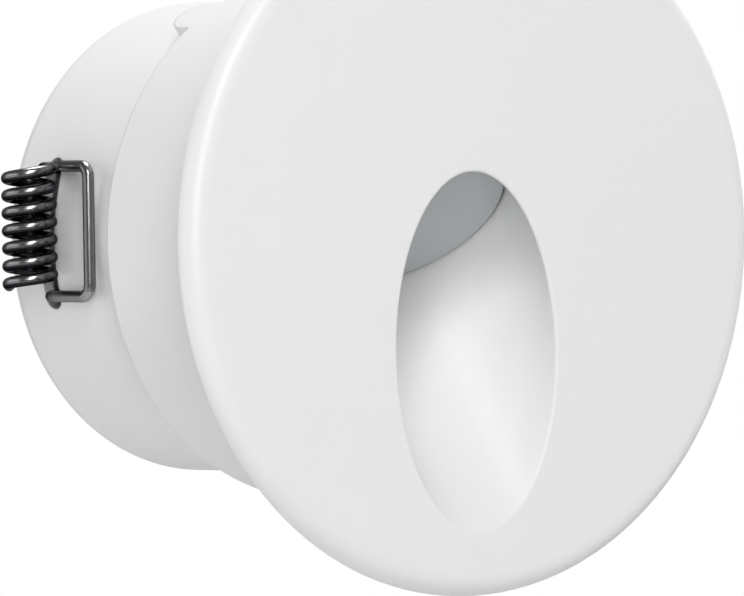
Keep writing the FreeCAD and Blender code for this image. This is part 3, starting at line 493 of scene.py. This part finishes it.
def arc_points(start, corner, end, radius, step):
    """Points of the round that replaces a corner between two straight runs."""
    before = (start - corner).normalized()
    after = (end - corner).normalized()
    half = before.angle(after) / 2
    leave = radius / math.tan(half)
    centre = corner + (before + after).normalized() * (radius / math.sin(half))
    first = corner + before * leave - centre
    turn = math.pi - 2 * half
    axis = before.cross(after).normalized() * -1
    count = max(2, round(turn / step))
    return [centre + Quaternion(axis, turn * index / count) @ first for index in range(count + 1)]


def rounded_route(corners, radii):
    """The points of a bent wire, with each corner between its ends rounded by its own radius."""
    step = math.radians(7.5)
    nearest = 0.02 * MM
    points = [corners[0]]
    for index, radius in enumerate(radii):
        points += arc_points(corners[index], corners[index + 1], corners[index + 2], radius, step)
    points.append(corners[-1])
    kept = [points[0]]
    for point in points[1:]:
        if (point - kept[-1]).length > nearest:
            kept.append(point)
    return kept


def strip(first, second, sides):
    """Faces between two rings of points, each given by the number of its first point."""
    faces = []
    for index in range(sides):
        after = (index + 1) % sides
        faces.append((first + index, first + after, second + after, second + index))
    return faces


def tube(points, radius, sides=20):
    """Points and faces of a round wire with slightly rounded cut ends."""
    count = len(points)
    tangents = []
    for index in range(count):
        ahead = points[min(index + 1, count - 1)]
        behind = points[max(index - 1, 0)]
        tangents.append((ahead - behind).normalized())
    side = tangents[0].orthogonal().normalized()
    rings = []
    for index in range(count):
        if index:
            turn = tangents[index - 1].rotation_difference(tangents[index])
            side = turn @ side
        side = (side - tangents[index] * side.dot(tangents[index])).normalized()
        up = tangents[index].cross(side)
        rings.append((points[index], tangents[index], side, up))
    cut = 0.25 * radius
    first = rings[0]
    last = rings[-1]
    start = [(first, 0.0, radius - cut), (first, cut, radius)]
    end = [(last, 0 - cut, radius), (last, 0.0, radius - cut)]
    stack = start + [(ring, 0.0, radius) for ring in rings[1:-1]] + end
    verts = []
    for (at, along, aside, above), shift, size in stack:
        for index in range(sides):
            angle = 2 * math.pi * index / sides
            verts.append(at + along * shift + (aside * math.cos(angle) + above * math.sin(angle)) * size)
    faces = []
    for row in range(len(stack) - 1):
        faces += strip(row * sides, (row + 1) * sides, sides)
    faces.append(tuple(reversed(range(sides))))
    faces.append(tuple((len(stack) - 1) * sides + index for index in range(sides)))
    return verts, faces


def rounded_outline(corners):
    """A closed outline from corners of (distance from the axis, height, round)."""
    step = math.radians(22.5)
    places = [Vector((out, height, 0)) for out, height, _ in corners]
    points = []
    for index, (_, _, radius) in enumerate(corners):
        if radius == 0:
            points.append(places[index])
            continue
        after = places[(index + 1) % len(places)]
        points += arc_points(places[index - 1], places[index], after, radius, step)
    return points


def lathe(corners, place, sides=96):
    """Points and faces of an outline turned about the local z of its place."""
    outline = rounded_outline(corners)
    verts = []
    for point in outline:
        for index in range(sides):
            angle = 2 * math.pi * index / sides
            verts.append(place @ Vector((point.x * math.cos(angle), point.x * math.sin(angle), point.y)))
    faces = []
    for row, point in enumerate(outline):
        below = (row + 1) % len(outline)
        if point.x == 0 and outline[below].x == 0:
            continue
        faces += strip(row * sides, below * sides, sides)
    return verts, faces


def join(shapes):
    """One list of points and one of faces from several shapes."""
    verts = []
    faces = []
    for more, rows in shapes:
        faces += [tuple(index + len(verts) for index in row) for row in rows]
        verts += more
    return verts, faces


def band(outer, inner, low, high, edge):
    """The outline of a flat ring with rounded edges."""
    return [(inner, low, edge), (outer, low, edge), (outer, high, edge), (inner, high, edge)]


def button(radius, low, high, edge):
    """The outline of a disc with a rounded rim."""
    return [(0, low, 0), (radius, low, edge), (radius, high, edge), (0, high, 0)]


# Local z runs back into the wall, local x stays across
WALL = Matrix.Rotation(0 - QUARTER, 4, "X")


def behind_lens(sizes):
    """The place whose local z is the lens's axis."""
    turn = Matrix.Rotation(sizes.lens_tilt - QUARTER, 4, "X")
    return Matrix.Translation((0, sizes.lens_y, sizes.lens_z)) @ turn


def soften(name, width):
    """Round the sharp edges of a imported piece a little."""
    bevel = frame["nodes"][name].modifiers.new("soft_edges", "BEVEL")
    bevel.width = width
    bevel.segments = 3
    bevel.limit_method = "ANGLE"
    bevel.angle_limit = math.radians(50)
    bevel.harden_normals = True


def clip_points(sizes):
    """The middle line of the left clip's wire, from the free end to the coil's cut tail."""
    def point(out, depth, height):
        return Vector((0 - out, depth, sizes.rise + height))

    run_y = sizes.pivot_y - 2 * sizes.bend
    inner = sizes.coil_out - sizes.coil_radius
    coil_y = sizes.pivot_y - sizes.bend
    corners = [
        point(sizes.end_out, sizes.end_y, sizes.half_span),
        point(sizes.bar_out, sizes.bar_y, sizes.half_span),
        point(sizes.bar_out, sizes.bar_y, 0 - sizes.half_span),
        point(sizes.leg_out, sizes.pivot_y, 0 - sizes.half_span),
        point(sizes.run_out, sizes.pivot_y, 0 - sizes.half_span),
        point(sizes.run_out, run_y, 0 - sizes.half_span),
        point(sizes.run_out, run_y, sizes.outlet),
        point(sizes.run_out, sizes.pivot_y, sizes.outlet),
        point(inner, sizes.pivot_y, sizes.outlet),
        point(inner, coil_y, sizes.outlet),
    ]
    loop_bends = [sizes.loop_bend] * 2
    slot_bends = [sizes.bend] * (len(corners) - 4)
    points = rounded_route(corners, loop_bends + slot_bends)
    steps_a_turn = 48
    tail = sizes.tail_angle / (2 * math.pi)
    steps = round((sizes.turns - 0.5 + tail) * steps_a_turn)
    drop = sizes.outlet - sizes.coil_top
    for step in range(1, steps + 1):
        turns = step / steps_a_turn
        half = turns * 2
        if half < 1:
            # The wire eases from level into the coil's pitch over its first half turn
            height = sizes.outlet - (3 * drop - sizes.pitch / 2) * half ** 2
            height -= (sizes.pitch / 2 - 2 * drop) * half ** 3
        else:
            height = sizes.coil_top - sizes.pitch * (turns - 0.5)
        angle = 2 * math.pi * turns
        points.append(point(sizes.coil_out - sizes.coil_radius * math.cos(angle),
                            coil_y - sizes.coil_radius * math.sin(angle), height))
    points.append(points[-1] + (points[-1] - points[-2]).normalized() * (2 * sizes.wire_radius))
    return points


class SPOTLIGHT_OT_finishes(Operator):
    """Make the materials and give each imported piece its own"""
    bl_idname = "spotlight.finishes"
    bl_label = "Finishes"

    def execute(self, context):
        make_finishes(context.scene.spotlight_paint, context.scene.spotlight_clip)
        for name, piece in frame["nodes"].items():
            piece.data.materials.clear()
            piece.data.materials.append(FINISHES[SLOTS[name]])
        for name in ("collar", "rear_can"):
            frame["nodes"][name].data.materials[0] = FINISHES["edged_paint"]
        return {"FINISHED"}


class SPOTLIGHT_OT_clips(Operator):
    """Wind the two sprung wire clips"""
    bl_idname = "spotlight.clips"
    bl_label = "Wire clips"

    def execute(self, context):
        sizes = context.scene.spotlight_clip
        points = clip_points(sizes)
        turned_over = Matrix.Rotation(math.pi, 4, "Y")
        for side, turn in (("left", Matrix.Identity(4)), ("right", turned_over)):
            verts, faces = tube([turn @ point for point in points], sizes.wire_radius)
            body = "clip_" + side
            piece = piece_from("spring_wire_" + side, verts, faces, "spring_wire", body)
            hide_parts(body)
        return {"FINISHED"}


class SPOTLIGHT_OT_seals(Operator):
    """Cut the foam gasket and mould the rubber and silicone seals"""
    bl_idname = "spotlight.seals"
    bl_label = "Seals"

    def execute(self, context):
        sizes = context.scene.spotlight_inside
        lens_axis = behind_lens(sizes)
        thick = SEAL_HIGH.y - SEAL_LOW.y
        nearly_round = 0.49 * thick
        # Name, node, slot, place, sides of the ring and outline
        seals = (
            ("foam_ring", "wall_gasket", "foam", WALL, 192,
             band(GASKET_HIGH.x, sizes.gasket_inner, 0, GASKET_HIGH.y, edge=0.22 * MM)),
            ("can_seal_ring", "body_seal", "black_rubber", WALL, 128,
             band(SEAL_HIGH.x, SEAL_HIGH.x - thick, SEAL_LOW.y, SEAL_HIGH.y, edge=nearly_round)),
            ("lens_seal_ring", "lens_seal", "silicone", lens_axis, 96,
             band(sizes.lens_rim, sizes.lens_seal_inner, 0, sizes.lens_seal_high, edge=0.15 * MM)),
            ("gland_washer_ring", "gland_washer", "black_rubber", WALL, 96,
             band(WASHER_HIGH.x, sizes.gland_thread, WASHER_LOW.y, WASHER_HIGH.y, edge=0.3 * MM)),
            ("thermal_sheet", "thermal_pad", "silicone", lens_axis, 64,
             button(sizes.pad_radius, sizes.pad_low, sizes.pad_high, edge=0.1 * MM)),
            ("gland_sleeve", "gland_seal", "black_rubber", WALL, 64, self.ribbed_sleeve(sizes)),
        )
        for name, node, slot, place, sides, outline in seals:
            piece = piece_from(name, *lathe(outline, place, sides), slot)
            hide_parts(node)
        return {"FINISHED"}

    def ribbed_sleeve(self, sizes):
        """A sleeve whose bore has grooves that leave ribs to grip the cable."""
        low = SLEEVE_LOW.y
        high = SLEEVE_HIGH.y
        edge = 0.25 * MM
        outline = [(SLEEVE_HIGH.x, low, edge), (SLEEVE_HIGH.x, high, edge)]
        ribs = 4
        step = (high - low) / ribs
        bore = sizes.gland_bore
        groove = bore + 0.3 * MM
        # Each rib as shares of a step: its flat top, then a slope, then the groove's floor
        rib = ((bore, 0), (bore, 0.45), (groove, 0.6), (groove, 0.85))
        for index in range(ribs):
            top = high - index * step
            outline += [(out, top - share * step, 0) for out, share in rib]
        outline.append((bore, low, 0))
        return outline


class SPOTLIGHT_OT_gland(Operator):
    """Round the moulded edges of the cable gland"""
    bl_idname = "spotlight.gland"
    bl_label = "Cable gland"

    def execute(self, context):
        for name in ("gland_body", "gland_nut", "gland_locknut"):
            soften(name, width=0.3 * MM)
        return {"FINISHED"}


class SPOTLIGHT_OT_screws(Operator):
    """Ease the edges of the screw heads"""
    bl_idname = "spotlight.screws"
    bl_label = "Screws"

    def execute(self, context):
        for name in ("case_screws", "carrier_screws", "driver_screws", "board_screws"):
            soften(name, width=0.18 * MM)
        return {"FINISHED"}


class SPOTLIGHT_OT_leads(Operator):
    """Run the two leads from the light board to the driver board"""
    bl_idname = "spotlight.leads"
    bl_label = "Leads"

    def execute(self, context):
        sizes = context.scene.spotlight_inside
        lens_axis = behind_lens(sizes)
        curve = bpy.data.curves.new("lead_pair", "CURVE")
        curve.dimensions = "3D"
        curve.bevel_depth = sizes.lead_radius
        curve.bevel_resolution = 4
        curve.resolution_u = 16
        curve.use_fill_caps = True
        for side in (-1, 1):
            across = side * sizes.lead_spread
            start = lens_axis @ Vector((across, sizes.lead_offset, sizes.pad_low))
            corner = lens_axis @ Vector((across, sizes.lead_offset, sizes.pad_low + sizes.lead_straight))
            end = Vector((across, sizes.driver_front, corner.z))
            before_corner = start.lerp(corner, 0.6)
            after_corner = corner.lerp(end, 0.25)
            route = [start, before_corner, corner, after_corner, end]
            spline = curve.splines.new("NURBS")
            spline.points.add(len(route) - 1)
            for point, place in zip(spline.points, route):
                point.co = (*place, 1.0)
            spline.order_u = 3
            spline.use_endpoint_u = True
        pair = bpy.data.objects.new("lead_pair", curve)
        context.scene.collection.objects.link(pair)
        curve.materials.append(FINISHES["lead_jacket"])
        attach(pair, "housing")
        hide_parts("led_leads")
        return {"FINISHED"}


class SPOTLIGHT_OT_driver(Operator):
    """Wind the inductor, sleeve the capacitor and solder the driver board"""
    bl_idname = "spotlight.driver"
    bl_label = "Driver parts"

    def execute(self, context):
        sizes = context.scene.spotlight_inside
        soften("driver_rectifier", width=0.2 * MM)
        soften("driver_terminal", width=0.25 * MM)
        soften("driver_inductor", width=0.15 * MM)
        self.capacitor()
        self.winding(sizes)
        self.solder(sizes)
        return {"FINISHED"}

    def capacitor(self):
        """A can with a rolled groove near its foot and a sleeve that leaves its top bare."""
        low = CAPACITOR_LOW
        high = CAPACITOR_HIGH
        radius = (high.x - low.x) / 2
        middle = Matrix.Translation(((low.x + high.x) / 2, 0, (low.z + high.z) / 2)) @ WALL
        foot = low.y
        sleeve_top = high.y - 0.1 * MM
        opening = radius - 0.8 * MM
        cap_radius = radius - 0.7 * MM
        groove = foot + 1.5 * MM
        groove_half = 0.6 * MM
        groove_floor = radius - 0.55 * MM
        sleeve = [
            (0, foot, 0), (radius - 0.1 * MM, foot, 0.2 * MM),
            (radius, groove - groove_half, 0.3 * MM), (groove_floor, groove, 0.2 * MM),
            (radius, groove + groove_half, 0.3 * MM), (radius, sleeve_top, 0.35 * MM),
            (opening, sleeve_top, 0), (0, sleeve_top, 0),
        ]
        piece = piece_from("capacitor_sleeve", *lathe(sleeve, middle, 64), "black_sleeve")
        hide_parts("driver_capacitor")
        cap = button(cap_radius, sleeve_top, high.y, edge=0.04 * MM)
        piece = piece_from("capacitor_top", *lathe(cap, middle, 64), "bare_aluminium")
        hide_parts("driver_capacitor")

    def winding(self, sizes):
        """Layers of copper wire wound up and down between the inductor's flanges."""
        low = INDUCTOR_LOW
        high = INDUCTOR_HIGH
        place = Matrix.Translation(((low.x + high.x) / 2, 0, (low.z + high.z) / 2)) @ WALL
        wire = sizes.winding_wire
        first = low.y + sizes.bobbin_flange + wire
        last = high.y - sizes.bobbin_flange - wire
        spacing = 2.05 * wire
        first_layer = 1.05 * wire
        layer_rise = 1.8 * wire
        turns = int((last - first) / spacing)
        steps_a_turn = 24
        points = []
        for layer in range(2):
            out = sizes.bobbin_waist + first_layer + layer_rise * layer
            for step in range(turns * steps_a_turn + 1):
                part = step / (turns * steps_a_turn)
                along = first + (last - first) * (part if layer == 0 else 1 - part)
                angle = 2 * math.pi * step / steps_a_turn
                points.append(place @ Vector((out * math.cos(angle), out * math.sin(angle), along)))
        piece_from("inductor_winding", *tube(points, wire, sides=8), "copper")

    def solder(self, sizes):
        """Small domes of solder on the driver board's front, under the parts' legs."""
        foot = 0.9 * MM
        shoulder = 0.45 * MM
        shoulder_high = 0.5 * MM
        tip_high = 0.7 * MM
        leg = 1.8 * MM
        dome = [(0, 0, 0), (foot, 0, 0), (shoulder, 0 - shoulder_high, 0.25 * MM), (0, 0 - tip_high, 0)]
        parts = ((CAPACITOR_LOW, CAPACITOR_HIGH), (INDUCTOR_LOW, INDUCTOR_HIGH),
                 (TERMINAL_LOW, TERMINAL_HIGH))
        domes = []
        for low, high in parts:
            middle = (low + high) / 2
            for z in (middle.z - leg, middle.z + leg):
                place = Matrix.Translation((middle.x, sizes.driver_front, z)) @ WALL
                domes.append(lathe(dome, place, 16))
        piece_from("driver_solder", *join(domes), "screw_steel")


class SPOTLIGHT_OT_light_board(Operator):
    """Lay the copper pads under the leads, and ease the edges of the lens and its carrier"""
    bl_idname = "spotlight.light_board"
    bl_label = "Light board"

    def execute(self, context):
        sizes = context.scene.spotlight_inside
        lens_axis = behind_lens(sizes)
        soften("lens", width=0.2 * MM)
        soften("led_carrier", width=0.3 * MM)
        outer = 1.35 * MM
        inner = 0.3 * MM
        high = sizes.board_front
        low = high - 0.06 * MM
        pads = []
        for side in (-1, 1):
            place = lens_axis @ Matrix.Translation((side * sizes.lead_spread, sizes.lead_offset, 0))
            pads.append(lathe(band(outer, inner, low, high, edge=0), place, 24))
        piece_from("light_board_pads", *join(pads), "copper")
        return {"FINISHED"}


# Place of each lamp in metres, and its width
LAMPS = {
    "key": ((-0.73, -0.91, 0.25), 0.5),
    "high": ((-0.5, -0.75, 0.75), 0.4),
    "top": ((0.25, 0.25, 0.9), 0.5),
    "rim": ((-0.85, 0.45, -0.05), 1.2),
}
LAMPS_LOOK_AT = Vector((0, 0.02, 0))
WHITE = (1.0, 1.0, 1.0, 1.0)
FLOOR = (0.74, 0.74, 0.74)
FLOOR_CLOUDS = (0.72, 0.72, 0.72)


class SPOTLIGHT_OT_studio(Operator):
    """Set the floor, the lights and the photograph's camera"""
    bl_idname = "spotlight.studio"
    bl_label = "Studio"

    def execute(self, context):
        self.floor(context)
        self.world(context)
        self.lights(context)
        self.camera(context)
        context.scene.view_settings.view_transform = "Standard"
        return {"FINISHED"}

    def floor(self, context):
        half = 2.0
        height = -0.4
        corners = [(x * half, y * half, height) for x, y in ((-1, -1), (1, -1), (1, 1), (-1, 1))]
        mesh = bpy.data.meshes.new("floor")
        mesh.from_pydata(corners, [], [tuple(range(len(corners)))])
        floor = bpy.data.objects.new("floor", mesh)
        context.scene.collection.objects.link(floor)
        finish = Finish("pale_floor", FLOOR, roughness=0.8)
        finish.tone(finish.noise(size=60 * MM, detail=1.0), FLOOR_CLOUDS)
        floor.data.materials.append(finish.material)

    def world(self, context):
        """A white room that lights more from some sides, and that the camera sees as plain white."""
        studio = context.scene.spotlight_studio
        world = bpy.data.worlds.new("studio")
        world.use_nodes = True
        sky = Nodes(world.node_tree)
        heading = sky.node("ShaderNodeTexCoord").outputs["Generated"]
        parts = sky.node("ShaderNodeSeparateXYZ", {}, {0: heading}).outputs
        x, y, z = (Maths(sky, part) for part in parts)
        light = studio.above * z.above(0.0) + studio.below * (0.0 - z).above(0.0)
        light = light + studio.behind * y.above(0.0) + studio.front * (0.0 - y).above(0.0)
        light = light + studio.right * x.above(0.0) + studio.left * (0.0 - x).above(0.0)
        lit = sky.node("ShaderNodeBackground", {}, {"Color": WHITE, "Strength": light})
        seen = sky.node("ShaderNodeBackground", {}, {"Color": WHITE, "Strength": 1.0})
        rays = sky.node("ShaderNodeLightPath")
        mixed = sky.node("ShaderNodeMixShader", {}, {
            0: rays.outputs["Is Camera Ray"], 1: lit.outputs[0], 2: seen.outputs[0]})
        sky.node("ShaderNodeOutputWorld", {}, {"Surface": mixed.outputs[0]})
        context.scene.world = world

    def lamp(self, context, name, place, across, power):
        """A soft square lamp that looks at the middle of the object."""
        light = bpy.data.lights.new(name, "AREA")
        light.size = across
        light.energy = power
        lamp = bpy.data.objects.new(name, light)
        lamp.location = place
        lamp.rotation_mode = "QUATERNION"
        lamp.rotation_quaternion = (LAMPS_LOOK_AT - Vector(place)).to_track_quat("-Z", "Y")
        context.scene.collection.objects.link(lamp)

    def lights(self, context):
        for name, (place, across) in LAMPS.items():
            self.lamp(context, name, place, across, getattr(context.scene.spotlight_studio, name))

    def camera(self, context):
        """The camera's own axes from its azimuth, elevation and roll, and its place from its distance."""
        view = context.scene.spotlight_camera
        back = Vector((math.sin(view.azimuth) * math.cos(view.elevation),
                       0 - math.cos(view.azimuth) * math.cos(view.elevation), math.sin(view.elevation)))
        level = Vector((math.cos(view.azimuth), math.sin(view.azimuth), 0))
        raised = back.cross(level)
        right = level * math.cos(view.roll) + raised * math.sin(view.roll)
        up = raised * math.cos(view.roll) - level * math.sin(view.roll)
        data = bpy.data.cameras.new("camera")
        data.lens = view.focal
        data.sensor_width = 36.0
        data.clip_start = 0.1
        data.clip_end = 100.0
        camera = bpy.data.objects.new("camera", data)
        turn = Matrix((right, up, back)).transposed()
        place = back * view.distance - right * view.aside - up * view.above
        camera.matrix_world = Matrix.Translation(place) @ turn.to_4x4()
        context.scene.collection.objects.link(camera)
        context.scene.camera = camera


class SPOTLIGHT_PT_panel(Panel):
    """Lists the steps that build the spotlight"""
    bl_idname = "SPOTLIGHT_PT_panel"
    bl_label = "Spotlight"
    bl_space_type = "VIEW_3D"
    bl_region_type = "UI"
    bl_category = "Spotlight"

    def draw(self, context):
        for step in STEPS:
            self.layout.operator(step.bl_idname)


STEPS = (SPOTLIGHT_OT_finishes, SPOTLIGHT_OT_clips, SPOTLIGHT_OT_seals, SPOTLIGHT_OT_gland,
         SPOTLIGHT_OT_screws, SPOTLIGHT_OT_leads, SPOTLIGHT_OT_driver, SPOTLIGHT_OT_light_board,
         SPOTLIGHT_OT_studio)
GROUPS = {"spotlight_clip": SPOTLIGHT_PG_clip, "spotlight_inside": SPOTLIGHT_PG_inside,
          "spotlight_paint": SPOTLIGHT_PG_paint, "spotlight_camera": SPOTLIGHT_PG_camera,
          "spotlight_studio": SPOTLIGHT_PG_studio}


def register():
    for kind in (*GROUPS.values(), *STEPS, SPOTLIGHT_PT_panel):
        bpy.utils.register_class(kind)
    for name, kind in GROUPS.items():
        setattr(bpy.types.Scene, name, PointerProperty(type=kind))


def unregister():
    for name in GROUPS:
        delattr(bpy.types.Scene, name)
    for kind in reversed((*GROUPS.values(), *STEPS, SPOTLIGHT_PT_panel)):
        bpy.utils.unregister_class(kind)


def main():
    register()
    for step in STEPS:
        group, name = step.bl_idname.split(".")
        getattr(getattr(bpy.ops, group), name)()


if __name__ == "__main__":
    main()
